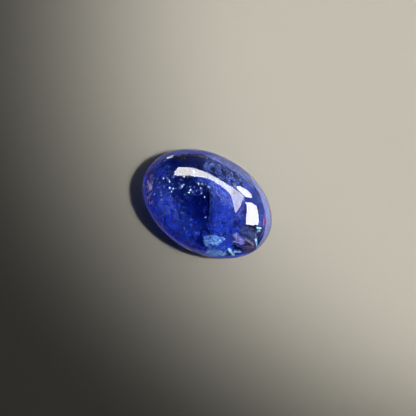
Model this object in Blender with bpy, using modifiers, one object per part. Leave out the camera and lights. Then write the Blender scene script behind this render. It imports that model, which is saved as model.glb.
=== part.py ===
"""Oval tanzanite cabochon, one polished stone.

Metres, +Z up. The origin is the centre of the small flat that the stone rests on,
+X runs along the long axis and +Y across it.
"""

from math import cos, pi, radians, sin

import bpy

# Driving dimensions of the stone
LENGTH = 0.0140
WIDTH = 0.0100
BACK_HEIGHT = 0.0012
GIRDLE_HEIGHT = 0.0003
DOME_HEIGHT = 0.0035
# The flat on the back, as a share of the girdle's outline
FLAT_SHARE = 0.50
# The low curve of the back, from the rim of the flat to the girdle's lower edge
BACK_START = radians(15)
BACK_END = radians(62)

# How finely the curves are cut into flat facets
SEGMENTS = 72
DOME_RINGS = 14
BACK_RINGS = 6
# Under 1 this opens the dome's upper rings, so that all facets are about as large
RING_SPREAD = 0.75
MERGE_DISTANCE = 1e-6

# Polished deep violet-blue, as the photo shows it away from the highlights
STONE_COLOUR = (0.035, 0.055, 0.36, 1.0)
STONE_ROUGHNESS = 0.03
STONE_IOR = 1.69
STONE_TRANSMISSION = 0.6


def clear_scene():
    """Removes whatever the scene holds."""
    for obj in list(bpy.data.objects):
        bpy.data.objects.remove(obj, do_unlink=True)


def make_collection(name):
    """Adds a collection to the scene."""
    collection = bpy.data.collections.new(name)
    bpy.context.scene.collection.children.link(collection)
    return collection


def stone_material():
    """Glossy, see-through violet-blue."""
    material = bpy.data.materials.new("tanzanite")
    material.use_nodes = True
    shader = material.node_tree.nodes["Principled BSDF"]
    shader.inputs["Base Color"].default_value = STONE_COLOUR
    shader.inputs["Roughness"].default_value = STONE_ROUGHNESS
    shader.inputs["Metallic"].default_value = 0.0
    shader.inputs["IOR"].default_value = STONE_IOR
    shader.inputs["Transmission Weight"].default_value = STONE_TRANSMISSION
    return material


def dome_points():
    """A quarter ellipse, from the top of the dome down to the girdle's upper edge."""
    upper_edge = BACK_HEIGHT + GIRDLE_HEIGHT
    points = []
    for ring in range(DOME_RINGS + 1):
        turn = (ring / DOME_RINGS) ** RING_SPREAD * pi / 2
        points.append((LENGTH / 2 * sin(turn), upper_edge + DOME_HEIGHT * cos(turn)))
    return points


def back_points():
    """The back's low curve, from the girdle's lower edge in to the rim of the flat."""
    flat_radius = FLAT_SHARE * LENGTH / 2
    reach = (LENGTH / 2 - flat_radius) / (sin(BACK_END) - sin(BACK_START))
    rise = BACK_HEIGHT / (cos(BACK_START) - cos(BACK_END))
    points = []
    for ring in range(BACK_RINGS + 1):
        turn = BACK_END + (BACK_START - BACK_END) * ring / BACK_RINGS
        radius = flat_radius + reach * (sin(turn) - sin(BACK_START))
        points.append((radius, rise * (cos(BACK_START) - cos(turn))))
    return points


def profile_points():
    """The stone's whole outline in its long section, from the dome's top to the base's centre."""
    return dome_points() + back_points() + [(0.0, 0.0)]


def make_stone(collection):
    """Turns the profile about Z, narrows it across the width, and smooths the shading."""
    points = profile_points()
    edges = [(start, start + 1) for start in range(len(points) - 1)]
    mesh = bpy.data.meshes.new("tanzanite_cabochon")
    mesh.from_pydata([(radius, 0.0, height) for radius, height in points], edges, [])
    stone = bpy.data.objects.new("tanzanite_cabochon", mesh)
    collection.objects.link(stone)

    screw = stone.modifiers.new("turn", "SCREW")
    screw.axis = "Z"
    screw.angle = 2 * pi
    screw.steps = SEGMENTS
    screw.render_steps = SEGMENTS
    screw.use_merge_vertices = True
    screw.merge_threshold = MERGE_DISTANCE
    screw.use_smooth_shade = True

    stone.scale = (1.0, WIDTH / LENGTH, 1.0)
    mesh.materials.append(stone_material())
    return stone


def main():
    clear_scene()
    make_stone(make_collection("oval_tanzanite_cabochon"))


main()
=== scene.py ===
"""Oval tanzanite cabochon: its polished surface, its colour, and what lies inside it.

Metres, +Z up. The stone rests on its small flat at z = 0, with +X along the oval.
"""

import logging
from collections.abc import Iterable
from dataclasses import dataclass, field
from enum import Enum
from math import cos, pi, radians, sin, tan

import bpy
from mathutils import Matrix, Vector


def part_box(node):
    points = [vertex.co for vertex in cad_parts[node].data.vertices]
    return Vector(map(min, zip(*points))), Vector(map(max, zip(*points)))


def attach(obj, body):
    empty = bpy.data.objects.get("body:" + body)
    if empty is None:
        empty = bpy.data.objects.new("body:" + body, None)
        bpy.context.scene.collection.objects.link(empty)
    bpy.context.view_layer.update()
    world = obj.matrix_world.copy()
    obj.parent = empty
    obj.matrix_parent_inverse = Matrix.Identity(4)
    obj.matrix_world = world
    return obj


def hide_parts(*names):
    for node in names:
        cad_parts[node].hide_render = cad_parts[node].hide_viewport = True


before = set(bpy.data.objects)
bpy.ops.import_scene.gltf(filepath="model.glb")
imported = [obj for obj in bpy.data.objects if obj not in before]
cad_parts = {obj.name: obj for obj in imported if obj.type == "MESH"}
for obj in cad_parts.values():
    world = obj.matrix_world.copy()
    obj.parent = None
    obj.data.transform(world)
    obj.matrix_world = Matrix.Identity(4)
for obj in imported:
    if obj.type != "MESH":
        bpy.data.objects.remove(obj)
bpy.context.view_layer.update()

STONE_NODE = "tanzanite_cabochon"
BODY = "root"
MM = 0.001
CURVE_STEPS = 48

log = logging.getLogger("cabochon")

Triple = tuple[float, float, float]
Spot = tuple[float, float]
Path = tuple[Spot, Spot, Spot, Spot]


def placed(name: str, data: bpy.types.ID) -> bpy.types.Object:
    """Adds an object to the scene.

    Args:
        name: the object's name.
        data: its mesh, lamp or camera.

    Returns:
        The object, at the origin.
    """
    thing = bpy.data.objects.new(name, data)
    bpy.context.scene.collection.objects.link(thing)
    return thing


def picked(sockets: Iterable[bpy.types.NodeSocket], key: str | int) -> bpy.types.NodeSocket:
    """Finds a socket among those in use.

    Args:
        sockets: a node's inputs or outputs.
        key: the socket's name, or its place among those in use.

    Returns:
        The socket.
    """
    shown = [socket for socket in sockets if socket.enabled]
    return shown[key] if isinstance(key, int) else next(socket for socket in shown if socket.name == key)


@dataclass(frozen=True)
class Wire:
    """A value that flows in a node tree. Arithmetic on it adds Math nodes to the tree."""

    graph: "Graph"
    socket: bpy.types.NodeSocket

    def __add__(self, other: "Feed") -> "Wire":
        """The sum of two numbers."""
        return self.graph.math("ADD", self, other)

    def __sub__(self, other: "Feed") -> "Wire":
        """The difference of two numbers."""
        return self.graph.math("SUBTRACT", self, other)

    def __rsub__(self, other: "Feed") -> "Wire":
        """The difference of two numbers, this one taken away."""
        return self.graph.math("SUBTRACT", other, self)

    def __mul__(self, other: "Feed") -> "Wire":
        """The product of two numbers."""
        return self.graph.math("MULTIPLY", self, other)

    def __truediv__(self, other: "Feed") -> "Wire":
        """The quotient of two numbers."""
        return self.graph.math("DIVIDE", self, other)


Feed = Wire | float | int | bool | Triple | bpy.types.Material
Feeds = dict[str | int, Feed]


class Graph:
    """A node tree under construction."""

    def __init__(self, tree: bpy.types.NodeTree) -> None:
        """Takes the tree to build in.

        Args:
            tree: the node tree of a material, a world or a shape.
        """
        self.tree = tree

    def feed(self, socket: bpy.types.NodeSocket, value: Feed) -> None:
        """Links a wire to a socket, or sets a plain value on it.

        Args:
            socket: the input to set.
            value: a wire of this tree, or the value itself.
        """
        if isinstance(value, Wire):
            self.tree.links.new(value.socket, socket)
        else:
            socket.default_value = value

    def node(self, kind: str, inputs: Feeds | None = None, **settings: object) -> bpy.types.Node:
        """Adds a node.

        Args:
            kind: the node's type.
            inputs: what goes into its sockets, by the socket's name or place.
            settings: the node's own properties.

        Returns:
            The new node.
        """
        node = self.tree.nodes.new(kind)
        for name, value in settings.items():
            setattr(node, name, value)
        for key, value in (inputs or {}).items():
            self.feed(picked(node.inputs, key), value)
        return node

    def wire(self, kind: str, inputs: Feeds | None = None, output: str | int = 0,
             **settings: object) -> Wire:
        """Adds a node and gives one of its outputs.

        Args:
            kind: the node's type.
            inputs: what goes into its sockets.
            output: the output's name or place.
            settings: the node's own properties.

        Returns:
            The output as a wire.
        """
        return Wire(self, picked(self.node(kind, inputs, **settings).outputs, output))

    def math(self, operation: str, *values: Feed) -> Wire:
        """Adds a Math node.

        Args:
            operation: what it does.
            values: its numbers, in order.

        Returns:
            The result.
        """
        return self.wire("ShaderNodeMath", dict(enumerate(values)), operation=operation)

    def vector_math(self, operation: str, *values: Feed) -> Wire:
        """Adds a Vector Math node.

        Args:
            operation: what it does.
            values: its vectors, in order.

        Returns:
            The result.
        """
        return self.wire("ShaderNodeVectorMath", dict(enumerate(values)), operation=operation)

    def scaled(self, vector: Feed, factor: Feed) -> Wire:
        """Multiplies a vector by a number.

        Args:
            vector: the vector.
            factor: the number.

        Returns:
            The longer or shorter vector.
        """
        return self.wire("ShaderNodeVectorMath", {"Vector": vector, "Scale": factor}, operation="SCALE")

    def point(self, x: Feed, y: Feed, z: Feed) -> Wire:
        """Joins three numbers in a vector.

        Args:
            x: along the oval.
            y: across it.
            z: up.

        Returns:
            The vector.
        """
        return self.wire("ShaderNodeCombineXYZ", {"X": x, "Y": y, "Z": z})

    def parts(self, vector: Feed) -> tuple[Wire, Wire, Wire]:
        """Splits a vector.

        Args:
            vector: the vector.

        Returns:
            Its three numbers.
        """
        split = self.node("ShaderNodeSeparateXYZ", {"Vector": vector})
        return tuple(Wire(self, split.outputs[name]) for name in "XYZ")

    def share(self, value: Feed, start: Feed, end: Feed, low: Feed = 0.0, high: Feed = 1.0) -> Wire:
        """How far a number is from start to end, held between low and high.

        Args:
            value: the number.
            start: where the result is low.
            end: where the result is high.
            low: the result before start.
            high: the result after end.

        Returns:
            The held result.
        """
        inputs = {"Value": value, "From Min": start, "From Max": end, "To Min": low, "To Max": high}
        return self.wire("ShaderNodeMapRange", inputs)

    def noise(self, vector: Feed, scale: Feed, detail: float = 2.0, output: str = "Fac") -> Wire:
        """Adds a Noise Texture.

        Args:
            vector: where it is read.
            scale: how fine it is, per metre.
            detail: how many finer layers it has.
            output: its number or its colour.

        Returns:
            The noise.
        """
        return self.wire("ShaderNodeTexNoise", {"Vector": vector, "Scale": scale, "Detail": detail}, output)


class ShapeTree(Graph):
    """A Geometry Nodes tree that makes one piece, with named inputs for its sizes."""

    def __init__(self, name: str) -> None:
        """Starts an empty tree.

        Args:
            name: the piece's name.
        """
        super().__init__(bpy.data.node_groups.new(name, "GeometryNodeTree"))
        self.name = name
        self.entry = self.tree.nodes.new("NodeGroupInput")
        self.values: dict[str, float | int] = {}

    def size(self, name: str, value: float | int) -> Wire:
        """Adds a named input.

        Args:
            name: the input's name.
            value: what the piece gives it.

        Returns:
            The input as a wire.
        """
        kind = "NodeSocketInt" if isinstance(value, int) else "NodeSocketFloat"
        socket = self.tree.interface.new_socket(name, in_out="INPUT", socket_type=kind)
        self.values[socket.identifier] = value
        return Wire(self, self.entry.outputs[name])

    def position(self) -> Wire:
        """Where each vertex is."""
        return self.wire("GeometryNodeInputPosition")

    def normal(self) -> Wire:
        """Which way each vertex faces."""
        return self.wire("GeometryNodeInputNormal", output="Normal")

    def moved(self, geometry: Wire, position: Feed | None = None, offset: Feed | None = None) -> Wire:
        """Sets or shifts the vertices.

        Args:
            geometry: what to move.
            position: the new place of each vertex, if it is set.
            offset: how far each one shifts, if it does.

        Returns:
            The moved geometry.
        """
        inputs: Feeds = {"Geometry": geometry}
        if position is not None:
            inputs["Position"] = position
        if offset is not None:
            inputs["Offset"] = offset
        return self.wire("GeometryNodeSetPosition", inputs)

    def random(self, low: float, high: float, seed: int) -> Wire:
        """A fixed random number for each point.

        Args:
            low: the least.
            high: the most.
            seed: picks the series.

        Returns:
            The number.
        """
        inputs = {"Min": low, "Max": high, "Seed": seed}
        return self.wire("FunctionNodeRandomValue", inputs, data_type="FLOAT")

    def random_point(self, low: Triple, high: Triple, seed: int) -> Wire:
        """A fixed random vector for each point.

        Args:
            low: its least parts.
            high: its greatest parts.
            seed: picks the series.

        Returns:
            The vector.
        """
        inputs = {"Min": low, "Max": high, "Seed": seed}
        return self.wire("FunctionNodeRandomValue", inputs, data_type="FLOAT_VECTOR")

    def facing(self, direction: Feed, start: Feed = (0.0, 0.0, 0.0)) -> Wire:
        """Turns a grain so that its flat face looks a given way.

        Args:
            direction: which way it is to face.
            start: how it lies before that.

        Returns:
            How it lies.
        """
        inputs = {"Rotation": start, "Vector": direction}
        return self.wire("FunctionNodeAlignRotationToVector", inputs, axis="Z")

    def loosened(self, lie: Wire, tilt: float, turn: float, seed: int) -> Wire:
        """Turns each grain at random.

        Args:
            lie: how it lies.
            tilt: how far it tips at most, to either side.
            turn: how far it turns flat at most, to either side.
            seed: picks the series.

        Returns:
            How it lies then.
        """
        angles = self.random_point((-tilt, -tilt, -turn), (tilt, tilt, turn), seed)
        inputs = {"Rotation": lie, "Rotate By": self.wire("FunctionNodeEulerToRotation", {"Euler": angles})}
        return self.wire("FunctionNodeRotateRotation", inputs, rotation_space="LOCAL")

    def grains(self, points: Wire, sides: int, proportions: Triple, lie: Wire, size: Wire,
               kept: Feed = True) -> Wire:
        """Sets a flat grain on each point.

        Args:
            points: the points.
            sides: how many sides a grain has.
            proportions: its length, width and thickness, as shares of its size.
            lie: how it lies.
            size: how large it is.
            kept: which points get one.

        Returns:
            The grains.
        """
        disk = self.wire("GeometryNodeMeshCylinder", {"Vertices": sides, "Radius": 0.5, "Depth": 1.0}, "Mesh")
        grain = self.wire("GeometryNodeTransform", {"Geometry": disk, "Scale": proportions})
        return self.wire("GeometryNodeInstanceOnPoints", {
            "Points": points, "Selection": kept, "Instance": grain, "Rotation": lie,
            "Scale": self.point(size, size, size)})

    def slab(self, steps: int, rows: int, layers: int) -> tuple[Wire, Wire, Wire, Wire]:
        """A box to be bent along a path, a unit long, wide and high.

        Args:
            steps: how many vertices it has along it.
            rows: how many across it.
            layers: how many from its bottom to its top.

        Returns:
            Its mesh, and where each vertex is: along it from 0 to 1, and from its middle across and up.
        """
        box = self.wire("GeometryNodeMeshCube", {
            "Size": (1.0, 1.0, 1.0), "Vertices X": steps, "Vertices Y": rows, "Vertices Z": layers}, "Mesh")
        along, across, up = self.parts(self.position())
        return box, along + 0.5, across, up

    def along(self, path: Path, share: Wire) -> tuple[Wire, Wire, Wire]:
        """Follows a curved path in the plan.

        Args:
            path: the ends and handles of a Bezier curve, in millimetres.
            share: how far along the path, from 0 to 1.

        Returns:
            The point, the path's direction there, and the direction to its right, both a unit long.
        """
        names = ("Start", "Start Handle", "End Handle", "End")
        spots = {name: (spot[0] * MM, spot[1] * MM, 0.0) for name, spot in zip(names, path)}
        curve = self.wire("GeometryNodeCurvePrimitiveBezierSegment", {"Resolution": CURVE_STEPS, **spots})
        sample = self.node("GeometryNodeSampleCurve", {"Curves": curve, "Factor": share})
        point, forward = (Wire(self, sample.outputs[name]) for name in ("Position", "Tangent"))
        return point, forward, self.vector_math("CROSS_PRODUCT", forward, (0.0, 0.0, 1.0))

    def given(self) -> Wire:
        """The mesh that the tree starts from."""
        self.tree.interface.new_socket("Geometry", in_out="INPUT", socket_type="NodeSocketGeometry")
        return Wire(self, self.entry.outputs["Geometry"])

    def made(self, geometry: Wire, material: bpy.types.Material,
             start: tuple[Vector, ...] = ()) -> bpy.types.Object:
        """Ends the tree and turns its result into a plain mesh.

        Args:
            geometry: what the tree makes.
            material: the piece's finish.
            start: the points of the mesh that the tree starts from, if it needs one.

        Returns:
            The finished piece, with no modifier left on it.
        """
        real = self.wire("GeometryNodeRealizeInstances", {"Geometry": geometry})
        dressed = self.wire("GeometryNodeSetMaterial", {"Geometry": real, "Material": material})
        self.tree.interface.new_socket("Geometry", in_out="OUTPUT", socket_type="NodeSocketGeometry")
        self.node("NodeGroupOutput", {"Geometry": dressed})

        points = bpy.data.meshes.new(f"{self.name}_carrier")
        points.from_pydata(start, [], [])
        carrier = placed(f"{self.name}_carrier", points)
        modifier = carrier.modifiers.new("shape", "NODES")
        modifier.node_group = self.tree
        for identifier, value in self.values.items():
            modifier[identifier] = value
        depsgraph = bpy.context.evaluated_depsgraph_get()
        mesh = bpy.data.meshes.new_from_object(carrier.evaluated_get(depsgraph), depsgraph=depsgraph)
        mesh.name = self.name
        mesh.materials.clear()
        mesh.materials.append(material)
        mesh.polygons.foreach_set("material_index", [0] * len(mesh.polygons))
        bpy.data.objects.remove(carrier)
        return placed(self.name, mesh)


class MaterialTree(Graph):
    """The node tree of a material."""

    def __init__(self, name: str) -> None:
        """Starts a material with nothing but its output.

        Args:
            name: the finish's name.
        """
        self.material = bpy.data.materials.new(name)
        self.material.use_nodes = True
        super().__init__(self.material.node_tree)
        self.tree.nodes.clear()
        self.output = self.tree.nodes.new("ShaderNodeOutputMaterial")

    def place(self) -> Wire:
        """The point of the surface, in the stone's own metres."""
        return self.wire("ShaderNodeTexCoord", output="Object")

    def surface(self, shader: Wire) -> None:
        """Sets what the surface does with light."""
        self.tree.links.new(shader.socket, self.output.inputs["Surface"])

    def clear_crystal(self, refraction: float, roughness: Feed, colour: Triple,
                      density: float) -> bpy.types.Material:
        """Makes the finish clear, with a colour that deepens on the light's way through it.

        Args:
            refraction: how much it bends light.
            roughness: how matt its skin is.
            colour: what it lets through.
            density: how fast the colour deepens, per metre.

        Returns:
            The finished material.
        """
        self.surface(self.wire("ShaderNodeBsdfPrincipled", {
            "Base Color": (1.0, 1.0, 1.0, 1.0), "Metallic": 0.0, "IOR": refraction,
            "Transmission Weight": 1.0, "Roughness": roughness}))
        depth = self.wire("ShaderNodeVolumeAbsorption", {"Color": (*colour, 1.0), "Density": density})
        self.tree.links.new(depth.socket, self.output.inputs["Volume"])
        return self.material


@dataclass(frozen=True)
class PolishedTanzanite:
    """The stone's finish: polished and see-through, with its colour in its depth."""

    refraction: float = 1.69
    depth_colour: Triple = (0.0, 0.42, 0.965)
    depth_density: float = 560.0
    gloss_low: float = 0.0
    gloss_high: float = 0.03
    wear_low: float = 0.4
    wear_high: float = 0.7
    wear_scale: float = 900.0
    wear_detail: float = 4.0
    back_top: float = 1.2 * MM
    back_fade: float = 0.1 * MM
    back_roughness: float = 0.25

    def material(self) -> bpy.types.Material:
        """Builds the finish.

        Returns:
            The material.
        """
        tree = MaterialTree("polished_tanzanite")
        wear = tree.noise(tree.place(), self.wear_scale, self.wear_detail)
        _, _, level = tree.parts(tree.place())
        gloss = tree.share(wear, self.wear_low, self.wear_high, self.gloss_low, self.gloss_high)
        matt = tree.share(level, self.back_top, self.back_top - self.back_fade, 0.0, self.back_roughness)
        return tree.clear_crystal(self.refraction, gloss + matt, self.depth_colour, self.depth_density)


class Panel(Enum):
    """The bright panels that a grain may glint in, each as a direction from the stone."""

    WINDOW_LEFT = (-0.85, 0.85, 1.0)
    WINDOW = (0.3, 0.95, 1.0)
    PANE = (1.7, 0.9, 1.0)


@dataclass
class Cabochon:
    """The cut stone: a smooth dome, a thin girdle and a low curved back with a small flat.

    The guards keep what lies in the stone off its skin, and the sums clear of the dome's steep rim.
    """

    length: float
    width: float
    height: float
    dome_share: float = 0.70
    girdle_share: float = 0.06
    flat_share: float = 0.50
    back_start: float = radians(15)
    back_end: float = radians(62)
    segments: int = 256
    dome_rows: int = 80
    girdle_rows: int = 8
    back_rows: int = 40
    flat_rows: int = 10
    merge_distance: float = 1e-7
    edge_softening: int = 3
    rim_guard: float = 0.02
    edge_guard: float = 0.985
    flake_reach: float = 0.95
    skin_guard: float = 0.08 * MM
    wave_height: float = 0.002 * MM
    wave_scale: float = 400.0
    back_wave_height: float = 0.03 * MM
    back_wave_scale: float = 1300.0
    back_wave_detail: float = 3.0
    back_wave_start: float = 0.8
    finish: PolishedTanzanite = field(default_factory=PolishedTanzanite)

    @classmethod
    def from_frame(cls) -> "Cabochon":
        """Reads the stone's sizes from the frame.

        Returns:
            The stone, as large as its CAD node.
        """
        low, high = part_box(STONE_NODE)
        return cls(length=high.x - low.x, width=high.y - low.y, height=high.z - low.z)

    @property
    def dome_height(self) -> float:
        """How far the dome stands over the girdle."""
        return self.dome_share * self.height

    @property
    def girdle_top(self) -> float:
        """The height of the girdle's upper edge."""
        return self.height - self.dome_height

    @property
    def back_height(self) -> float:
        """The height of the girdle's lower edge."""
        return self.girdle_top - self.girdle_share * self.height

    def build(self) -> bpy.types.Object:
        """Makes the stone's skin by turning its profile, with the waves that polishing leaves.

        Returns:
            The stone.
        """
        tree = ShapeTree("tanzanite_stone")
        half_length = tree.size("Half Length", self.length / 2)
        half_width = tree.size("Half Width", self.width / 2)
        dome = tree.size("Dome Height", self.dome_height)
        girdle = tree.size("Girdle Height", self.girdle_top - self.back_height)
        back = tree.size("Back Height", self.back_height)
        flat = tree.size("Flat Share", self.flat_share)
        segments = tree.size("Segments", self.segments)
        dome_rows = tree.size("Dome Rows", self.dome_rows)
        girdle_rows = tree.size("Girdle Rows", self.girdle_rows)
        back_rows = tree.size("Back Rows", self.back_rows)
        flat_rows = tree.size("Flat Rows", self.flat_rows)

        rows = dome_rows + girdle_rows + back_rows + flat_rows
        grid = tree.node("GeometryNodeMeshGrid", {
            "Size X": 1.0, "Size Y": 1.0, "Vertices X": segments + 1, "Vertices Y": rows + 1})
        flat_grid, place = (Wire(tree, grid.outputs[name]) for name in ("Mesh", "UV Map"))
        turned, lowered, _ = tree.parts(place)
        around = turned * (-2 * pi)
        row = lowered * rows

        on_dome = tree.share(row, 0.0, dome_rows) * (pi / 2)
        on_girdle = tree.share(row, dome_rows, dome_rows + girdle_rows)
        below = dome_rows + girdle_rows
        turn = tree.share(row, below, below + back_rows, self.back_end, self.back_start)
        on_flat = tree.share(row, below + back_rows, rows)

        reach = (1.0 - flat) / (sin(self.back_end) - sin(self.back_start))
        lost = (sin(self.back_end) - tree.math("SINE", turn)) * reach
        radius = tree.math("SINE", on_dome) - lost - on_flat * flat
        drop = (tree.math("COSINE", turn) - cos(self.back_end)) * back
        drop = drop / (cos(self.back_start) - cos(self.back_end))
        height = back + girdle + dome * tree.math("COSINE", on_dome) - on_girdle * girdle - drop

        across = tree.math("SINE", around) * radius * half_width
        along = tree.math("COSINE", around) * radius * half_length
        skin = tree.moved(flat_grid, position=tree.point(along, across, height))
        skin = tree.wire("GeometryNodeMergeByDistance", {"Geometry": skin, "Distance": self.merge_distance})
        soft = tree.wire("GeometryNodeBlurAttribute", {
            "Value": tree.position(), "Iterations": self.edge_softening}, data_type="FLOAT_VECTOR")
        skin = tree.moved(skin, position=soft)
        wave = tree.noise(tree.position(), self.wave_scale) - 0.5
        skin = tree.moved(skin, offset=tree.scaled(tree.normal(), wave * self.wave_height))
        _, _, level = tree.parts(tree.position())
        on_back = tree.share(level, back, back * self.back_wave_start)
        rough = tree.noise(tree.position(), self.back_wave_scale, self.back_wave_detail)
        skin = tree.moved(skin, offset=tree.point(0.0, 0.0, rough * on_back * self.back_wave_height))
        skin = tree.wire("GeometryNodeSetShadeSmooth", {"Geometry": skin, "Shade Smooth": True})
        return tree.made(skin, self.finish.material())

    def outward(self, tree: ShapeTree, plan: Wire) -> Wire:
        """How far a point of the plan is from the middle, 1 at the stone's outline.

        Args:
            tree: the tree that asks.
            plan: the point of the plan, its height left at zero.

        Returns:
            The distance, as a share of the way to the outline.
        """
        unit = tree.vector_math("DIVIDE", plan, (self.length / 2, self.width / 2, 1.0))
        return tree.math("SQRT", tree.vector_math("DOT_PRODUCT", unit, unit))

    def dome_at(self, tree: ShapeTree, plan: Wire) -> tuple[Wire, Wire, Wire]:
        """The dome over a point of the plan.

        Args:
            tree: the tree that asks.
            plan: the point of the plan, its height left at zero, held within the outline.

        Returns:
            The held point, the dome's height there, and the way the dome faces there.
        """
        half_length, half_width = self.length / 2, self.width / 2
        inside = tree.math("MINIMUM", tree.math("DIVIDE", self.edge_guard, self.outward(tree, plan)), 1.0)
        plan = tree.scaled(plan, inside)
        unit = tree.vector_math("DIVIDE", plan, (half_length, half_width, 1.0))
        spread = tree.vector_math("DOT_PRODUCT", unit, unit)
        rise = tree.math("SQRT", tree.math("MAXIMUM", 1.0 - spread, self.rim_guard))
        lean = tree.vector_math("DIVIDE", unit, (half_length, half_width, 1.0))
        normal = tree.vector_math("NORMALIZE", tree.vector_math(
            "ADD", lean, tree.point(0.0, 0.0, rise / self.dome_height)))
        return plan, rise * self.dome_height + self.girdle_top, normal

    def refracted(self, tree: ShapeTree, ray: Triple, normal: Wire) -> Wire:
        """Which way a ray goes on inside the stone.

        Args:
            tree: the tree that asks.
            ray: the ray outside, of length one.
            normal: the way the dome faces where the ray meets it.

        Returns:
            The ray inside.
        """
        return tree.vector_math("REFRACT", ray, normal, 1.0 / self.finish.refraction)

    def seen_at(self, tree: ShapeTree, plan: Wire, depth: Feed) -> Wire:
        """Where a thing in the stone lies if it is seen from above at a point of the plan.

        Light bends at the dome, so the thing lies nearer the middle than it looks.

        Args:
            tree: the thing's own tree.
            plan: the point of the plan, its height left at zero, held within the outline.
            depth: how far the thing lies under the dome there, held within the stone.

        Returns:
            The thing's place.
        """
        plan, top, normal = self.dome_at(tree, plan)
        ray = self.refracted(tree, (0.0, 0.0, -1.0), normal)
        back = tree.share(self.outward(tree, plan), self.flat_share, 1.0,
                          self.skin_guard, self.back_height + self.skin_guard)
        level = tree.math("MAXIMUM", top - depth, back)
        level = tree.math("MINIMUM", level, top - self.skin_guard)
        _, _, fall = tree.parts(ray)
        skin = tree.vector_math("ADD", plan, tree.point(0.0, 0.0, top))
        return tree.vector_math("ADD", skin, tree.scaled(ray, (level - top) / fall))

    def glinting(self, tree: ShapeTree, plan: Wire, light: Panel) -> Wire:
        """Which way a flat grain in the stone must face to send light straight up.

        Args:
            tree: the grain's own tree.
            plan: where it is seen from above.
            light: the panel that the light comes from.

        Returns:
            The way it faces.
        """
        _, _, normal = self.dome_at(tree, plan)
        incoming = tuple(-Vector(light.value).normalized())
        down = self.refracted(tree, (0.0, 0.0, -1.0), normal)
        both = tree.vector_math("ADD", down, self.refracted(tree, incoming, normal))
        return tree.vector_math("NORMALIZE", tree.scaled(both, -1.0))

    def install(self) -> bpy.types.Object:
        """Builds the stone and puts it in the place of its CAD node.

        Returns:
            The stone.
        """
        stone = self.build()
        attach(stone, BODY)
        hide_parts(STONE_NODE)
        return stone


@dataclass(frozen=True)
class FilmLook:
    """How a thin thing in the stone looks: two colours of its mottle, and how it takes light."""

    light: Triple
    dark: Triple
    metallic: float = 0.0
    roughness: float = 0.5
    specular: float = 0.2
    mottle_scale: float = 6000.0
    mottle_low: float = 0.35
    mottle_high: float = 0.65


class Film(Enum):
    """The finishes of what lies in the stone. An air-filled crack mirrors light, as metal does."""

    CRYSTAL = FilmLook((0.85, 1.0, 1.0), (0.65, 0.88, 1.0), 0.9, 0.25)
    SKY = FilmLook((0.42, 0.76, 1.0), (0.1, 0.34, 1.0), 0.9, 0.4)
    HAZE = FilmLook((0.24, 0.38, 1.0), (0.08, 0.15, 0.9), 0.9, 0.7)
    CLOUD = FilmLook((0.5, 0.62, 1.0), (0.2, 0.3, 0.95), 0.9, 0.6)
    MIST = FilmLook((0.19, 0.29, 0.95), (0.05, 0.1, 0.56), 0.9, 0.75)
    ICE = FilmLook((0.6, 0.92, 1.0), (0.25, 0.6, 1.0), 0.9, 0.4)
    CREAM = FilmLook((1.0, 0.86, 0.8), (0.85, 0.6, 0.7), 0.8, 0.4)
    # Near black: real fractures and spots, and also painted shade and a painted shadow
    NIGHT = FilmLook((0.01, 0.014, 0.07), (0.002, 0.002, 0.012))
    LAVENDER = FilmLook((0.6, 0.57, 0.9), (0.34, 0.32, 0.66), 0.6, 0.5)
    SLATE = FilmLook((0.17, 0.2, 0.48), (0.06, 0.065, 0.18))
    ROSE = FilmLook((1.0, 0.8, 0.95), (0.6, 0.4, 0.75), 0.7, 0.4)
    BURGUNDY = FilmLook((0.28, 0.12, 0.24), (0.08, 0.03, 0.09))
    CHALK = FilmLook((1.0, 1.0, 1.0), (0.75, 0.85, 1.0), 0.7, 0.35)
    # Painted reflections at the rim: lit, dim and shaded copies of one lavender blue, for the floor seen at
    # the rim
    LIT_RIM = FilmLook((0.3, 0.31, 0.58), (0.19, 0.2, 0.42))
    DIM_RIM = FilmLook((0.15, 0.16, 0.37), (0.1, 0.11, 0.27))
    SHADED_RIM = FilmLook((0.035, 0.055, 0.42), (0.02, 0.035, 0.28))
    # A painted glow, for light gathered along the lower rim
    EDGE_GLOW = FilmLook((0.06, 0.16, 1.0), (0.02, 0.08, 0.7))
    CORAL = FilmLook((1.0, 0.16, 0.25), (0.8, 0.06, 0.12))

    def material(self) -> bpy.types.Material:
        """Builds the finish, or finds it if another piece has it.

        Returns:
            The material.
        """
        name = f"{self.name.lower()}_film"
        if name in bpy.data.materials:
            return bpy.data.materials[name]
        look = self.value
        tree = MaterialTree(name)
        mottle = tree.noise(tree.place(), look.mottle_scale)
        mottle = tree.share(mottle, look.mottle_low, look.mottle_high)
        colour = tree.wire("ShaderNodeMix", {
            "Factor": mottle, "A": (*look.dark, 1.0), "B": (*look.light, 1.0)}, data_type="RGBA")
        inputs = {
            "Base Color": colour, "Metallic": look.metallic,
            "Roughness": look.roughness, "Specular IOR Level": look.specular,
        }
        tree.surface(tree.wire("ShaderNodeBsdfPrincipled", inputs))
        return tree.material


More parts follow.
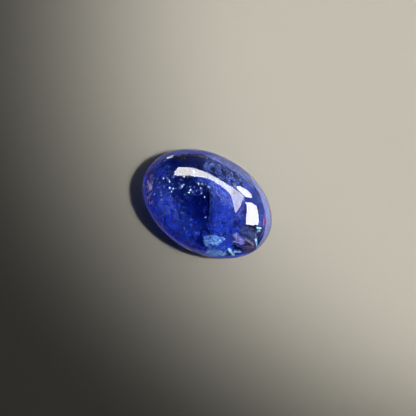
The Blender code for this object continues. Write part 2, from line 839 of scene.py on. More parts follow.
@dataclass(frozen=True)
class FlakeBand:
    """Flat flakes along a curved band in the stone.

    The path, the spread to each side of it, the depths and the sizes are in millimetres, as seen
    from above. The flakes lie level, or they face so that they glint in a light, both within their
    tilt. They crowd at the path, most are small, and those outside the patches are left out.
    """

    name: str
    finish: Film
    path: Path
    spread: float
    depths: tuple[float, float]
    count: int
    sizes: tuple[float, float]
    seed: int
    proportions: Triple = (1.0, 0.6, 0.06)
    depth_spread: float = 0.2
    patch_scale: float = 1.0
    patch_level: float = 0.0
    tilt: float = radians(40)
    turn: float = pi
    plate_sides: int = 5
    size_power: float = 2.0
    light: Panel | None = None

    def build(self, stone: Cabochon) -> bpy.types.Object:
        """Scatters the flakes.

        Args:
            stone: the stone they lie in.

        Returns:
            The band, one mesh.
        """
        tree = ShapeTree(self.name)
        count = tree.size("Count", self.count)
        spread = tree.size("Spread", self.spread * MM)
        least = tree.size("Least Size", self.sizes[0] * MM)
        most = tree.size("Greatest Size", self.sizes[1] * MM)
        first = tree.size("First Depth", self.depths[0] * MM)
        last = tree.size("Last Depth", self.depths[1] * MM)
        loose = self.depth_spread * MM

        points = tree.wire("GeometryNodePoints", {"Count": count})
        share = tree.random(0.0, 1.0, self.seed)
        place, forward, side = tree.along(self.path, share)
        aside = (tree.random(-0.5, 0.5, self.seed + 1) + tree.random(-0.5, 0.5, self.seed + 2)) * spread
        plan = tree.vector_math("ADD", place, tree.scaled(side, aside))
        patch = tree.noise(plan, self.patch_scale / MM)
        kept = tree.math("GREATER_THAN", patch, self.patch_level)
        kept = kept * tree.math("LESS_THAN", stone.outward(tree, plan), stone.flake_reach)
        depth = tree.share(share, 0.0, 1.0, first, last) + tree.random(-loose, loose, self.seed + 3)
        points = tree.moved(points, position=stone.seen_at(tree, plan, depth))

        lie = tree.wire("FunctionNodeAlignRotationToVector", {"Vector": forward}, axis="X", pivot_axis="Z")
        if self.light:
            lie = tree.facing(stone.glinting(tree, plan, self.light), lie)
        lie = tree.loosened(lie, self.tilt, self.turn, self.seed + 4)
        size = tree.math("POWER", tree.random(0.0, 1.0, self.seed + 5), self.size_power)
        size = tree.share(size, 0.0, 1.0, least, most)
        flakes = tree.grains(points, self.plate_sides, self.proportions, lie, size, kept)
        return tree.made(flakes, self.finish.material())


@dataclass(frozen=True)
class Specks:
    """Single bright spots in the stone, each a few flat grains close together that glint in a light.

    Each spot is given as x, y and how far it spreads, in millimetres, as seen from above.
    """

    name: str
    finish: Film
    spots: tuple[Triple, ...]
    depth: float
    grains: int
    seed: int
    light: Panel
    grain_share: float = 0.55
    least_share: float = 0.4
    proportions: Triple = (1.0, 0.7, 0.3)
    tilt: float = radians(8)
    plate_sides: int = 6

    def build(self, stone: Cabochon) -> bpy.types.Object:
        """Sets the grains round their spots.

        Args:
            stone: the stone they lie in.

        Returns:
            The specks, one mesh.
        """
        tree = ShapeTree(self.name)
        points = tree.wire("GeometryNodeMeshToPoints", {"Mesh": tree.given()})
        depth = tree.size("Depth", self.depth * MM)
        grains = tree.size("Grains", self.grains)
        repeats = {"Geometry": points, "Amount": grains}
        points = tree.wire("GeometryNodeDuplicateElements", repeats, domain="POINT")

        x, y, spread = tree.parts(tree.position())
        stray = tree.random_point((-0.5, -0.5, 0.0), (0.5, 0.5, 0.0), self.seed)
        plan = tree.vector_math("ADD", tree.point(x, y, 0.0), tree.scaled(stray, spread))
        size = spread * self.grain_share * tree.random(self.least_share, 1.0, self.seed + 1)
        lie = tree.facing(stone.glinting(tree, plan, self.light))
        lie = tree.loosened(lie, self.tilt, pi, self.seed + 2)
        specks = tree.grains(points, self.plate_sides, self.proportions, lie, size)
        specks = tree.moved(specks, position=stone.seen_at(tree, plan, depth))
        return tree.made(specks, self.finish.material(), tuple(Vector(spot) * MM for spot in self.spots))


@dataclass(frozen=True)
class Crack:
    """A thin sheet along a curved path in the stone, such as a fracture seen nearly edge on.

    The path, the width, the depths and the thickness are in millimetres, as seen from above. The
    sheet goes down from the path to the path's right, or to its left if the width is negative.
    """

    name: str
    finish: Film
    path: Path
    width: float
    depths: tuple[float, float]
    thickness: float = 0.03
    raggedness: float = 0.5
    edge_scale: float = 3.0
    edge_low: float = 0.35
    edge_high: float = 0.65
    wobble: float = 0.06
    wobble_scale: float = 1.5
    noise_detail: float = 3.0
    taper_power: float = 0.6
    steps: int = 120
    rows: int = 8

    def build(self, stone: Cabochon) -> bpy.types.Object:
        """Bends a thin slab along the path and narrows it to its two ends.

        Args:
            stone: the stone it lies in.

        Returns:
            The sheet, one mesh.
        """
        tree = ShapeTree(self.name)
        width = tree.size("Width", self.width * MM)
        thickness = tree.size("Thickness", self.thickness * MM)
        upper = tree.size("Upper Depth", self.depths[0] * MM)
        lower = tree.size("Lower Depth", self.depths[1] * MM)
        wobble = tree.size("Wobble", self.wobble * MM)
        raggedness = tree.size("Raggedness", self.raggedness)

        slab, share, across, down = tree.slab(self.steps, 2, self.rows)
        down = down + 0.5
        place, _, side = tree.along(self.path, share)
        taper = tree.math("POWER", tree.math("SINE", share * pi), self.taper_power)
        edge = tree.noise(tree.scaled(place, self.edge_scale), 1.0 / MM, self.noise_detail)
        reach = width * taper * (1.0 - raggedness * tree.share(edge, self.edge_low, self.edge_high))
        bend = (tree.noise(place, self.wobble_scale / MM, self.noise_detail) - 0.5) * wobble
        aside = reach * down + bend + thickness * taper * across
        plan = tree.vector_math("ADD", place, tree.scaled(side, aside))
        depth = upper + (lower - upper) * down
        sheet = tree.moved(slab, position=stone.seen_at(tree, plan, depth))
        return tree.made(sheet, self.finish.material())


class ZoneShape(Enum):
    """Where a painted-shade zone is thickest across its path."""

    EDGE = "along the path, thinning to its right"
    MIDDLE = "in the middle, thinning to both sides"


@dataclass(frozen=True)
class ShadeZone:
    """A darker part of the stone: painted shade that stands in for shadow inside it, with no skin of its own
    to be seen.

    The path, the width and the depths are in millimetres, as seen from above. It bends next to no
    light, and only takes some away.
    """

    name: str
    path: Path
    width: float
    depths: tuple[float, float]
    colour: Triple
    density: float
    shape: ZoneShape = ZoneShape.MIDDLE
    wobble: float = 0.3
    wobble_scale: float = 6.0
    noise_detail: float = 3.0
    taper_power: float = 0.5
    least_share: float = 0.02
    refraction: float = 1.001
    steps: int = 100
    rows: int = 20

    def material(self) -> bpy.types.Material:
        """Builds the zone's finish."""
        tree = MaterialTree(f"{self.name}_depth")
        return tree.clear_crystal(self.refraction, 0.0, self.colour, self.density)

    def build(self, stone: Cabochon) -> bpy.types.Object:
        """Swells a slab along the path.

        Args:
            stone: the stone it lies in.

        Returns:
            The zone, one mesh.
        """
        tree = ShapeTree(self.name)
        width = tree.size("Width", self.width * MM)
        upper = tree.size("Upper Depth", self.depths[0] * MM)
        lower = tree.size("Lower Depth", self.depths[1] * MM)
        wobble = tree.size("Wobble", self.wobble * MM)

        slab, share, across, through = tree.slab(self.steps, self.rows, 2)
        across = 0.5 - across
        place, _, side = tree.along(self.path, share)
        if self.shape is ZoneShape.EDGE:
            swell = 1.0 - across
            aside = width * across
        else:
            swell = tree.math("SINE", across * pi)
            aside = width * (across - 0.5)
        bend = tree.noise(tree.point(share, across, 0.0), self.wobble_scale, self.noise_detail)
        bend = (bend - 0.5) * wobble * across
        plan = tree.vector_math("ADD", place, tree.scaled(side, aside + bend))
        swell = swell * tree.math("POWER", tree.math("SINE", share * pi), self.taper_power)
        swell = tree.math("MAXIMUM", swell, self.least_share)
        depth = upper + (lower - upper) * (0.5 - through * swell)
        zone = tree.moved(slab, position=stone.seen_at(tree, plan, depth))
        return tree.made(zone, self.material())


# The fracture across the middle, and the line between the feather and the dark wedge beside it
MIDDLE_LINE: Path = ((-1.0, 1.9), (-0.2, 0.75), (0.55, -0.3), (1.0, -1.75))
WEDGE_LINE: Path = ((0.7, -2.5), (1.3, -3.0), (1.65, -3.5), (1.85, -4.5))


def rim_path(start: float, end: float, inset: float) -> Path:
    """A path along the stone's outline.

    Args:
        start: where it starts, in degrees from the +X end, on the circle that is squeezed to the oval.
        end: where it ends, at most 90 degrees away.
        inset: how far inside the outline it runs, in millimetres.

    Returns:
        The path.
    """
    low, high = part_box(STONE_NODE)
    half_length, half_width = ((size / 2 / MM - inset) for size in (high.x - low.x, high.y - low.y))
    first, last = radians(start), radians(end)
    # How long the handles are, so that a Bezier curve keeps to the circle
    pull = 4 / 3 * tan((last - first) / 4)
    circle = (
        (cos(first), sin(first)),
        (cos(first) - pull * sin(first), sin(first) + pull * cos(first)),
        (cos(last) + pull * sin(last), sin(last) - pull * cos(last)),
        (cos(last), sin(last)),
    )
    return tuple((x * half_length, y * half_width) for x, y in circle)


@dataclass(frozen=True)
class Inclusions:
    """What grew or broke inside the stone, each kind a piece of its own, with painted shade, painted
    reflections and a painted glow among them.
    """

    bands: tuple[FlakeBand, ...] = (
        FlakeBand("pinpoint_crystals", Film.CRYSTAL,
                  ((-5.7, -1.2), (-4.4, -0.6), (-3.0, 0.2), (-0.9, 1.5)), 2.0, (0.4, 0.4), 150,
                  (0.03, 0.16), 11, proportions=(1.0, 0.8, 0.3), tilt=radians(22), plate_sides=6,
                  light=Panel.WINDOW),
        FlakeBand("pinpoint_crystals_low", Film.CRYSTAL,
                  ((-4.6, -2.0), (-3.0, -1.6), (-1.5, -2.6), (1.2, -3.0)), 2.0, (0.6, 0.6), 50,
                  (0.03, 0.14), 12, proportions=(1.0, 0.8, 0.3), tilt=radians(22), plate_sides=6,
                  light=Panel.WINDOW),
        FlakeBand("sky_blue_feather", Film.SKY, ((1.9, -3.3), (2.4, -2.8), (3.0, -2.9), (4.0, -3.7)),
                  1.3, (0.6, 0.4), 720, (0.05, 0.34), 23, proportions=(1.0, 0.14, 0.06),
                  depth_spread=0.2, patch_scale=2.8, patch_level=0.5, tilt=radians(18),
                  light=Panel.PANE),
        FlakeBand("feather_streaks", Film.ICE, ((1.9, -3.6), (2.2, -2.9), (2.6, -2.3), (3.2, -2.5)),
                  0.7, (0.3, 0.3), 300, (0.06, 0.36), 25, proportions=(1.0, 0.12, 0.04),
                  depth_spread=0.08, tilt=radians(9), turn=radians(50), light=Panel.PANE),
        FlakeBand("feather_edge_streaks", Film.ICE,
                  ((2.4, -4.05), (3.0, -3.9), (3.6, -3.8), (4.2, -3.45)), 0.4, (0.24, 0.24), 300,
                  (0.08, 0.34), 27, proportions=(1.0, 0.14, 0.04), depth_spread=0.05, tilt=radians(12),
                  turn=radians(50), light=Panel.PANE),
        FlakeBand("sky_blue_rim", Film.SKY, ((2.3, -4.2), (3.0, -4.1), (3.6, -3.9), (4.2, -3.5)), 0.5,
                  (0.3, 0.3), 330, (0.05, 0.3), 29, proportions=(1.0, 0.24, 0.06), depth_spread=0.08,
                  patch_scale=3.0, patch_level=0.46, tilt=radians(22), light=Panel.PANE),
        FlakeBand("feather_ground", Film.HAZE, ((1.6, -3.4), (2.3, -2.7), (3.2, -3.0), (4.4, -3.2)),
                  1.1, (0.8, 0.7), 2600, (0.04, 0.18), 31, depth_spread=0.15, tilt=radians(24),
                  light=Panel.PANE),
        FlakeBand("left_haze", Film.MIST, ((-6.0, -0.2), (-4.0, -1.6), (-2.0, -2.2), (0.2, -3.6)), 4.0,
                  (0.7, 0.7), 3400, (0.03, 0.1), 37, depth_spread=0.3, patch_scale=0.9,
                  patch_level=0.46, tilt=radians(30), light=Panel.WINDOW),
        FlakeBand("left_end_haze", Film.HAZE, ((-6.1, 1.2), (-5.7, 0.9), (-5.3, 0.6), (-5.2, -0.2)),
                  0.9, (0.5, 0.5), 420, (0.03, 0.12), 38, depth_spread=0.2, patch_scale=1.6,
                  patch_level=0.42, tilt=radians(32), light=Panel.WINDOW_LEFT),
        # Painted shade: near-black flakes that darken the left half
        FlakeBand("left_painted_shade_flakes", Film.NIGHT, ((-5.6, 0.8), (-3.8, -0.4), (-1.8, 0.2), (0.0, -1.6)), 5.0,
                  (1.2, 1.2), 500, (0.04, 0.2), 39, depth_spread=0.4, patch_scale=1.0, patch_level=0.5),
        FlakeBand("blue_haze", Film.HAZE, ((0.2, 2.5), (1.0, 1.3), (1.8, 0.1), (2.3, -1.9)), 1.3,
                  (0.7, 0.7), 4600, (0.03, 0.15), 41, depth_spread=0.4, patch_scale=1.4,
                  patch_level=0.38, tilt=radians(32), light=Panel.WINDOW),
        FlakeBand("line_top_haze", Film.HAZE, ((-2.0, 1.6), (-1.5, 1.85), (-1.1, 2.0), (-0.6, 2.1)),
                  0.4, (0.5, 0.5), 500, (0.03, 0.12), 40, depth_spread=0.2, patch_scale=1.6,
                  patch_level=0.42, tilt=radians(32), light=Panel.WINDOW),
        FlakeBand("right_haze", Film.HAZE, ((2.6, 2.4), (3.0, 0.9), (3.4, -0.6), (3.6, -2.4)), 1.9,
                  (0.7, 0.6), 3000, (0.03, 0.15), 42, depth_spread=0.4, patch_scale=1.4,
                  patch_level=0.4, tilt=radians(30), light=Panel.PANE),
        FlakeBand("lower_haze", Film.HAZE, ((-4.9, -2.4), (-3.4, -3.4), (-1.4, -3.8), (0.8, -4.0)), 2.0,
                  (0.5, 0.5), 3600, (0.03, 0.16), 51, patch_scale=1.4, patch_level=0.4,
                  tilt=radians(28), light=Panel.WINDOW),
        FlakeBand("arc_haze", Film.CLOUD, ((-0.8, 2.1), (0.3, 1.9), (1.5, 1.7), (2.4, 1.1)), 1.1,
                  (0.4, 0.4), 1100, (0.03, 0.16), 53, patch_scale=1.6, patch_level=0.4,
                  tilt=radians(24), light=Panel.WINDOW),
        # Painted shade: near-black flakes where the upper-left dome shows a dark reflection
        FlakeBand("painted_shade_patch", Film.NIGHT, ((-4.9, 2.4), (-4.7, 2.6), (-4.5, 2.75), (-4.1, 2.9)), 0.3,
                  (0.35, 0.35), 160, (0.08, 0.3), 49, depth_spread=0.1, tilt=radians(20)),
        FlakeBand("upper_haze", Film.CLOUD, ((-2.2, 3.3), (-0.5, 3.7), (1.2, 3.6), (2.9, 3.0)), 1.4,
                  (0.4, 0.4), 1900, (0.03, 0.18), 43, proportions=(1.0, 0.4, 0.06), patch_scale=1.6,
                  patch_level=0.42, tilt=radians(26), turn=radians(50), light=Panel.WINDOW),
        FlakeBand("upper_right_haze", Film.HAZE, ((1.7, 3.5), (3.5, 3.3), (5.0, 2.4), (5.9, 0.8)), 0.9,
                  (0.45, 0.4), 1500, (0.03, 0.18), 45, proportions=(1.0, 0.4, 0.06), patch_scale=1.6,
                  patch_level=0.42, tilt=radians(26), light=Panel.PANE),
        FlakeBand("pane_haze", Film.LAVENDER, ((2.9, 2.2), (3.1, 1.6), (3.2, 0.9), (3.6, 0.2)), 0.6,
                  (0.4, 0.4), 330, (0.03, 0.18), 47, proportions=(1.0, 0.4, 0.06), patch_scale=2.6,
                  patch_level=0.46, light=Panel.WINDOW),
        FlakeBand("slate_patch", Film.SLATE, ((4.1, -0.2), (4.8, -0.4), (5.4, -0.5), (6.0, -0.6)), 0.6,
                  (0.5, 0.35), 420, (0.08, 0.3), 71, depth_spread=0.15, tilt=radians(20)),
        FlakeBand("rose_haze", Film.LAVENDER, ((3.85, -1.25), (4.3, -1.45), (4.7, -1.5), (5.1, -1.5)),
                  0.36, (0.4, 0.35), 420, (0.06, 0.22), 77, proportions=(1.0, 0.5, 0.06),
                  depth_spread=0.08, tilt=radians(24)),
        FlakeBand("rose_streaks", Film.CREAM, ((5.1, -1.2), (5.4, -1.15), (5.7, -1.15), (6.05, -1.25)),
                  0.13, (0.3, 0.3), 120, (0.08, 0.4), 79, proportions=(1.0, 0.25, 0.06),
                  depth_spread=0.04, tilt=radians(14), turn=radians(14)),
        FlakeBand("rose_edge", Film.ROSE, ((4.2, -1.92), (4.5, -1.88), (4.8, -1.75), (5.15, -1.6)),
                  0.09, (0.28, 0.28), 110, (0.08, 0.4), 80, proportions=(1.0, 0.25, 0.06),
                  depth_spread=0.04, tilt=radians(14), turn=radians(14)),
        FlakeBand("burgundy_streaks", Film.BURGUNDY,
                  ((5.35, -1.95), (5.65, -1.8), (5.95, -1.55), (6.15, -1.25)), 0.2, (0.3, 0.3), 150,
                  (0.08, 0.34), 83, proportions=(1.0, 0.3, 0.06), depth_spread=0.06, tilt=radians(16),
                  turn=radians(20)),
        FlakeBand("dark_spots", Film.NIGHT, ((4.3, -2.15), (4.6, -2.3), (4.9, -2.4), (5.35, -2.2)),
                  0.22, (0.35, 0.35), 60, (0.1, 0.3), 89, depth_spread=0.1, tilt=radians(20)),
        FlakeBand("violet_smear", Film.BURGUNDY,
                  ((-1.6, -3.85), (-1.4, -4.0), (-1.1, -4.0), (-0.9, -4.1)), 0.3, (0.25, 0.25), 30,
                  (0.08, 0.3), 91, proportions=(1.0, 0.3, 0.06), depth_spread=0.05, tilt=radians(15),
                  turn=radians(40)),
        FlakeBand("veil_swirls", Film.CLOUD, ((-4.2, -2.2), (-3.4, -2.3), (-2.6, -2.2), (-2.4, -3.0)),
                  1.4, (0.4, 0.4), 1300, (0.04, 0.2), 97, proportions=(1.0, 0.3, 0.06),
                  depth_spread=0.15, patch_scale=1.8, patch_level=0.47, tilt=radians(22),
                  turn=radians(60), light=Panel.WINDOW),
        FlakeBand("rim_glints", Film.CREAM, ((-6.15, -0.3), (-6.1, -1.2), (-5.6, -2.2), (-4.8, -2.9)),
                  0.4, (0.2, 0.2), 60, (0.1, 0.55), 101, proportions=(1.0, 0.1, 0.05),
                  depth_spread=0.06, tilt=radians(8), turn=radians(12), light=Panel.WINDOW_LEFT),
        FlakeBand("surface_chip", Film.CHALK,
                  ((-5.8, 1.95), (-5.65, 2.1), (-5.55, 2.15), (-5.35, 2.45)), 0.1, (0.12, 0.12), 90,
                  (0.04, 0.14), 103, depth_spread=0.03, tilt=radians(14), light=Panel.WINDOW_LEFT),
        FlakeBand("upper_slash", Film.ICE, ((6.0, -0.65), (6.15, -0.8), (6.3, -0.95), (6.5, -1.2)), 0.1,
                  (0.24, 0.24), 45, (0.15, 0.4), 107, proportions=(1.0, 0.14, 0.04), depth_spread=0.03,
                  tilt=radians(8), turn=radians(10), light=Panel.PANE),
        FlakeBand("side_glint", Film.ICE, ((4.7, -2.85), (4.85, -2.7), (5.0, -2.65), (5.35, -2.5)),
                  0.16, (0.24, 0.24), 60, (0.1, 0.3), 108, proportions=(1.0, 0.2, 0.04),
                  depth_spread=0.04, tilt=radians(10), turn=radians(30), light=Panel.PANE),
        FlakeBand("lower_slash", Film.ICE, ((4.1, -2.85), (4.4, -2.9), (4.7, -3.0), (4.95, -3.2)), 0.16,
                  (0.24, 0.24), 90, (0.15, 0.4), 109, proportions=(1.0, 0.14, 0.04), depth_spread=0.04,
                  tilt=radians(8), turn=radians(14), light=Panel.PANE),
    )
    specks: tuple[Specks, ...] = (
        Specks("cream_glint", Film.CREAM,
               ((-5.95, -1.38, 0.26), (-6.0, -1.2, 0.16), (-5.85, -1.6, 0.14)), 0.15, 6, 59,
               Panel.WINDOW_LEFT),
        Specks("pane_glint", Film.ICE,
               ((5.8, 0.5, 0.24), (5.55, 0.4, 0.2), (5.84, 0.26, 0.18), (5.78, 0.06, 0.12)), 0.12, 10,
               57, Panel.PANE),
        Specks("coral_dot", Film.CORAL, ((6.08, -0.45, 0.16),), 0.2, 3, 58, Panel.PANE),
        Specks("left_specks", Film.CRYSTAL,
               ((-4.4, 0.1, 0.28), (-5.05, 0.0, 0.22), (-5.0, -1.0, 0.26), (-4.45, -1.45, 0.26),
                (-5.2, -0.55, 0.14), (-4.7, -0.6, 0.16), (-4.1, -1.9, 0.14), (-5.5, -0.3, 0.12),
                (-5.8, 1.6, 0.12), (-5.13, 1.3, 0.12)), 0.25, 5, 60, Panel.WINDOW_LEFT),
        Specks("large_specks", Film.CRYSTAL,
               ((-3.8, -0.6, 0.42), (-3.0, 0.3, 0.36), (-2.1, 0.35, 0.26), (-1.72, 1.3, 0.22),
                (-0.73, 1.54, 0.13), (-0.8, -3.2, 0.26), (0.5, -3.07, 0.2)), 0.25, 5, 61, Panel.WINDOW),
        Specks("small_specks", Film.CRYSTAL,
               ((-3.3, -0.1, 0.16), (-3.0, 1.3, 0.14), (-1.34, 1.05, 0.13), (-2.28, 0.58, 0.14),
                (-1.56, 0.58, 0.14), (-1.8, -2.05, 0.18), (0.2, 0.43, 0.1), (-2.35, -2.1, 0.16),
                (-2.35, -0.9, 0.14), (-0.3, -2.6, 0.12)), 0.3, 3, 67, Panel.WINDOW),
    )
    cracks: tuple[Crack, ...] = (
        Crack("middle_fracture", Film.NIGHT, MIDDLE_LINE, 0.14, (0.25, 1.1), raggedness=0.35,
              wobble=0.16, wobble_scale=0.9, steps=200),
        Crack("fracture_branch", Film.NIGHT, ((1.15, -2.0), (1.4, -2.25), (1.7, -2.45), (2.05, -2.75)),
              0.08, (0.25, 0.6)),
        Crack("left_crack", Film.NIGHT, ((-3.05, -2.9), (-2.9, -3.2), (-2.8, -3.5), (-2.75, -3.8)),
              0.12, (0.3, 0.8)),
        # Painted reflection: a pale arc of light reflected inside the stone
        Crack("painted_reflection_arc", Film.LAVENDER, ((-0.3, 1.5), (0.4, 1.2), (1.2, 1.1), (2.0, 1.4)), 0.1,
              (0.2, 0.3)),
        Crack("lower_line", Film.ROSE, ((-0.4, -4.25), (0.3, -4.15), (1.0, -4.05), (1.7, -3.95)), 0.1,
              (0.15, 0.2)),
        Crack("slash_shadow", Film.NIGHT, ((4.05, -3.05), (4.3, -3.15), (4.6, -3.3), (4.85, -3.5)),
              0.25, (0.3, 0.5), raggedness=0.6),
        Crack("red_arc", Film.CORAL, ((5.55, 1.8), (5.8, 1.5), (6.0, 1.2), (6.1, 0.7)), 0.14,
              (0.2, 0.3)),
        # Painted glow: blue sheets along the lower rim where light gathers as it leaves the stone
        Crack("rim_glow", Film.EDGE_GLOW, rim_path(186, 272, 0.06), -0.42, (0.12, 0.3), raggedness=0.4,
              steps=160),
        Crack("rim_glow_low", Film.EDGE_GLOW, rim_path(250, 336, 0.06), -0.4, (0.15, 0.3),
              raggedness=0.4, steps=160),
        # Painted reflections of the floor at the rim: lighter at the right where the floor is lit, darker at
        # the left where it lies in shade, with a dark band inside the right rim for the reflected dark room
        Crack("left_rim_painted_reflection", Film.SHADED_RIM, rim_path(190, 100, 0.08), 0.6, (0.3, 0.4),
              thickness=0.04, raggedness=0.3, steps=160),
        Crack("top_rim_painted_reflection", Film.DIM_RIM, rim_path(124, 50, 0.08), 0.76, (0.45, 0.6), thickness=0.04,
              raggedness=0.12, steps=160),
        Crack("right_rim_painted_dark_reflection", Film.SHADED_RIM, rim_path(50, -14, 0.62), 0.2, (0.3, 0.4),
              raggedness=0.4, steps=160),
        Crack("right_rim_painted_reflection", Film.LIT_RIM, rim_path(70, -18, 0.08), 0.62, (0.2, 0.3), thickness=0.04,
              raggedness=0.12, steps=160),
    )
    # Painted shade: zones that darken the stone left of the middle fracture, over the left half, under the
    # dark upper-left dome and beside the wedge line
    zones: tuple[ShadeZone, ...] = (
        ShadeZone("middle_shade", MIDDLE_LINE, 1.7, (0.3, 2.6), (0.0, 0.2, 0.68), 380.0,
                   shape=ZoneShape.EDGE, wobble=0.2),
        ShadeZone("left_shade", ((-6.4, 0.8), (-4.5, -0.2), (-2.5, -1.0), (-0.6, -2.0)), 6.4,
                   (0.6, 3.0), (0.0, 0.17, 0.6), 150.0),
        ShadeZone("upper_shade", ((-5.5, 1.9), (-5.1, 2.7), (-4.6, 3.0), (-3.8, 3.1)), 1.3, (0.2, 1.6),
                   (0.0, 0.12, 0.6), 1300.0, wobble=0.2),
        ShadeZone("upper_shade_end", ((-4.3, 2.8), (-3.7, 3.1), (-3.1, 3.2), (-2.5, 3.3)), 1.4,
                   (0.2, 1.4), (0.0, 0.17, 0.7), 500.0, wobble=0.2),
        ShadeZone("wedge_shade", WEDGE_LINE, 1.9, (0.25, 1.8), (0.0, 0.2, 0.88), 460.0,
                   shape=ZoneShape.EDGE, wobble=0.15),
    )

    def install(self, stone: Cabochon) -> None:
        """Builds every inclusion and lets it ride with the stone.

        Args:
            stone: the stone they lie in.
        """
        for inclusion in (*self.bands, *self.specks, *self.cracks, *self.zones):
            piece = inclusion.build(stone)
            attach(piece, BODY)
            log.info("%s: %d faces", piece.name, len(piece.data.polygons))


@dataclass(frozen=True)
class PlainPaper:
    """The floor's finish: pale and matt."""

    colour: Triple = (0.2, 0.193, 0.175)
    roughness: float = 0.9

    def material(self) -> bpy.types.Material:
        """Builds the finish.

        Returns:
            The material.
        """
        tree = MaterialTree("plain_paper")
        inputs = {"Base Color": (*self.colour, 1.0), "Roughness": self.roughness}
        tree.surface(tree.wire("ShaderNodeBsdfPrincipled", inputs))
        return tree.material


@dataclass(frozen=True)
class Softbox:
    """A flat bright panel over the stone, seen only as a reflection or through the stone.

    Its corners are given as where their light comes from: x and y of a direction whose z is 1.
    """

    name: str
    corners: tuple[Spot, ...]
    brightness: float
    colour: Triple = (1.0, 0.985, 0.88)
    distance: float = 0.16

    def build(self) -> bpy.types.Object:
        """Makes the panel.

        Returns:
            The panel.
        """
        directions = [Vector((x, y, 1.0)) for x, y in self.corners]
        facing = (sum(directions, Vector()) / len(directions)).normalized()
        corners = [tuple(way * (self.distance / way.dot(facing))) for way in directions]
        mesh = bpy.data.meshes.new(self.name)
        mesh.from_pydata(corners, [], [tuple(range(len(corners)))])
        if mesh.polygons[0].normal.dot(facing) > 0:
            mesh.flip_normals()
        tree = MaterialTree(self.name)
        glow = {"Color": (*self.colour, 1.0), "Strength": self.brightness}
        tree.surface(tree.wire("ShaderNodeEmission", glow))
        mesh.materials.append(tree.material)
        panel = placed(self.name, mesh)
        panel.visible_camera = False
        panel.visible_diffuse = False
        return panel


@dataclass(frozen=True)
class KeyLight:
    """A soft lamp beside the stone that lights the floor and the stone's inside.

    It aims at a point on its own side of the stone, so the floor darkens away from it.
    """

    azimuth: float = radians(43)
    elevation: float = radians(40)
    distance: float = 0.12
    size: float = 0.09
    spread: float = radians(16)
    aim_azimuth: float = radians(55)
    aim_ahead: float = 0.046
    power: float = 0.06
    colour: Triple = (1.0, 0.97, 0.9)

    def build(self) -> bpy.types.Object:
        """Hangs the lamp, turned to its aim.

        Returns:
            The lamp.
        """
        data = bpy.data.lights.new("key_light", "AREA")
        data.shape = "DISK"
        data.size = self.size
        data.spread = self.spread
        data.energy = self.power
        data.color = self.colour
        lamp = placed("key_light", data)
        flat = cos(self.elevation)
        towards = Vector((flat * cos(self.azimuth), flat * sin(self.azimuth), sin(self.elevation)))
        lamp.location = towards * self.distance
        aim = Vector((cos(self.aim_azimuth), sin(self.aim_azimuth), 0.0)) * self.aim_ahead
        lamp.rotation_euler = (lamp.location - aim).to_track_quat("Z", "Y").to_euler()
        lamp.visible_glossy = False
        lamp.visible_camera = False
        return lamp


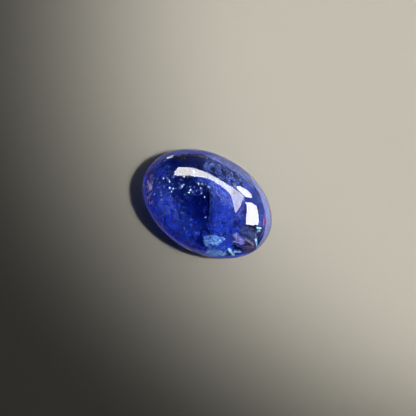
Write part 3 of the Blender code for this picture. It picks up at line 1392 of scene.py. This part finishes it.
@dataclass
class Studio:
    """The floor, the lights and the camera."""

    floor_size: float = 1.5
    floor_gap: float = 0.01 * MM
    overhead: float = 0.08
    overhead_start: float = 0.6
    horizon: float = 0.4
    dark_side: float = 0.03
    window_side: float = 0.9
    window_azimuth: float = radians(50)
    room_colour: Triple = (1.0, 0.99, 0.97)
    light_bounces: int = 24
    gloss_bounces: int = 12
    lens: float = 120.0
    image_size: int = 416
    stone_pixel: tuple[float, float] = (207.06, 203.78)
    stone_length_px: float = 138.2
    long_axis_turn: float = radians(30)
    softboxes: tuple[Softbox, ...] = (
        Softbox("window_band", ((-1.36, 1.00), (-1.09, 1.10), (-0.84, 1.19), (-0.62, 1.22), (-0.43, 1.19),
                                (-0.13, 1.16), (0.14, 1.17), (0.38, 1.20), (0.32, 0.63), (0.26, 0.73),
                                (0.17, 0.78), (0.01, 0.82), (-0.13, 0.84), (-0.24, 0.82), (-0.48, 0.66),
                                (-0.82, 0.43), (-1.03, 0.37)), 10.5),
        Softbox("dim_pane", ((0.38, 1.20), (0.53, 1.26), (0.72, 1.32), (0.77, 1.23), (0.66, 0.83),
                             (0.60, 0.58), (0.57, 0.40), (0.52, 0.21), (0.45, 0.32), (0.39, 0.48),
                             (0.32, 0.63)), 7.5),
        Softbox("small_pane", ((0.48, 1.62), (0.70, 2.10), (1.19, 2.74), (1.77, 3.15), (1.87, 2.79),
                               (1.37, 2.02), (0.85, 1.34), (0.74, 1.37), (0.52, 1.37)), 14.0),
        Softbox("faint_pane", ((0.32, 1.60), (0.50, 2.15), (0.48, 1.62), (0.50, 1.36), (0.36, 1.37)), 2.5),
        Softbox("large_pane", ((0.82, 0.96), (0.95, 1.14), (1.20, 1.38), (1.77, 1.84), (2.13, 1.97),
                               (2.22, 1.69), (2.23, 1.27), (2.56, 0.96), (2.56, 0.75), (2.02, 0.45),
                               (1.30, 0.17), (1.00, 0.07), (0.91, 0.26), (0.85, 0.66)), 14.0),
    )

    def build_floor(self) -> bpy.types.Object:
        """Lays the floor just under the stone.

        Returns:
            The floor.
        """
        half = self.floor_size / 2
        corners = ((-half, -half), (half, -half), (half, half), (-half, half))
        mesh = bpy.data.meshes.new("floor")
        mesh.from_pydata([(x, y, -self.floor_gap) for x, y in corners], [], [(0, 1, 2, 3)])
        mesh.materials.append(PlainPaper().material())
        floor = placed("floor", mesh)
        return floor

    def build_room(self) -> None:
        """Makes the room's dim light, brighter at the horizon and on the window's side."""
        world = bpy.data.worlds.new("room")
        world.use_nodes = True
        graph = Graph(world.node_tree)
        graph.tree.nodes.clear()
        direction = graph.wire("ShaderNodeTexCoord", output="Generated")
        _, _, height = graph.parts(direction)
        window = (cos(self.window_azimuth), sin(self.window_azimuth), 0.0)
        facing = graph.vector_math("DOT_PRODUCT", direction, window)
        strength = graph.share(height, 0.0, self.overhead_start, self.horizon, self.overhead)
        strength = strength * graph.share(facing, 0.0, self.window_side, self.dark_side, 1.0)
        glow = {"Color": (*self.room_colour, 1.0), "Strength": strength}
        graph.node("ShaderNodeOutputWorld", {"Surface": graph.wire("ShaderNodeBackground", glow)})
        bpy.context.scene.world = world

    def build_camera(self, stone: Cabochon) -> bpy.types.Object:
        """Hangs the camera straight over the stone, turned and placed as in the photograph.

        Args:
            stone: what it looks at.

        Returns:
            The camera.
        """
        data = bpy.data.cameras.new("camera")
        data.lens = self.lens
        pixel = stone.length / self.stone_length_px
        distance = self.lens / data.sensor_width * (stone.length * self.image_size / self.stone_length_px)
        right = Vector((cos(self.long_axis_turn), sin(self.long_axis_turn), 0.0))
        up = Vector((-sin(self.long_axis_turn), cos(self.long_axis_turn), 0.0))
        middle = self.image_size / 2
        aim = right * (middle - self.stone_pixel[0]) * pixel - up * (middle - self.stone_pixel[1]) * pixel
        camera = placed("camera", data)
        place = Matrix.Translation(aim + Vector((0, 0, distance + stone.girdle_top)))
        camera.matrix_world = place @ Matrix.Rotation(self.long_axis_turn, 4, "Z")
        bpy.context.scene.camera = camera
        return camera

    def build(self, stone: Cabochon) -> None:
        """Sets up everything round the stone.

        Args:
            stone: what the camera looks at.
        """
        things = [self.build_floor()]
        self.build_room()
        things += [softbox.build() for softbox in self.softboxes]
        things += [KeyLight().build(), self.build_camera(stone)]
        for thing in things:
            log.info("%s: stage", thing.name)
        scene = bpy.context.scene
        scene.view_settings.view_transform = "Standard"
        scene.cycles.max_bounces = self.light_bounces
        scene.cycles.transmission_bounces = self.light_bounces
        scene.cycles.glossy_bounces = self.gloss_bounces


def main() -> None:
    """Builds the stone, what is in it, and the studio round it."""
    logging.basicConfig(level=logging.INFO, format="%(message)s")
    cabochon = Cabochon.from_frame()
    stone = cabochon.install()
    log.info("%s: %d faces", stone.name, len(stone.data.polygons))
    Inclusions().install(cabochon)
    Studio().build(cabochon)


if __name__ == "__main__":
    main()
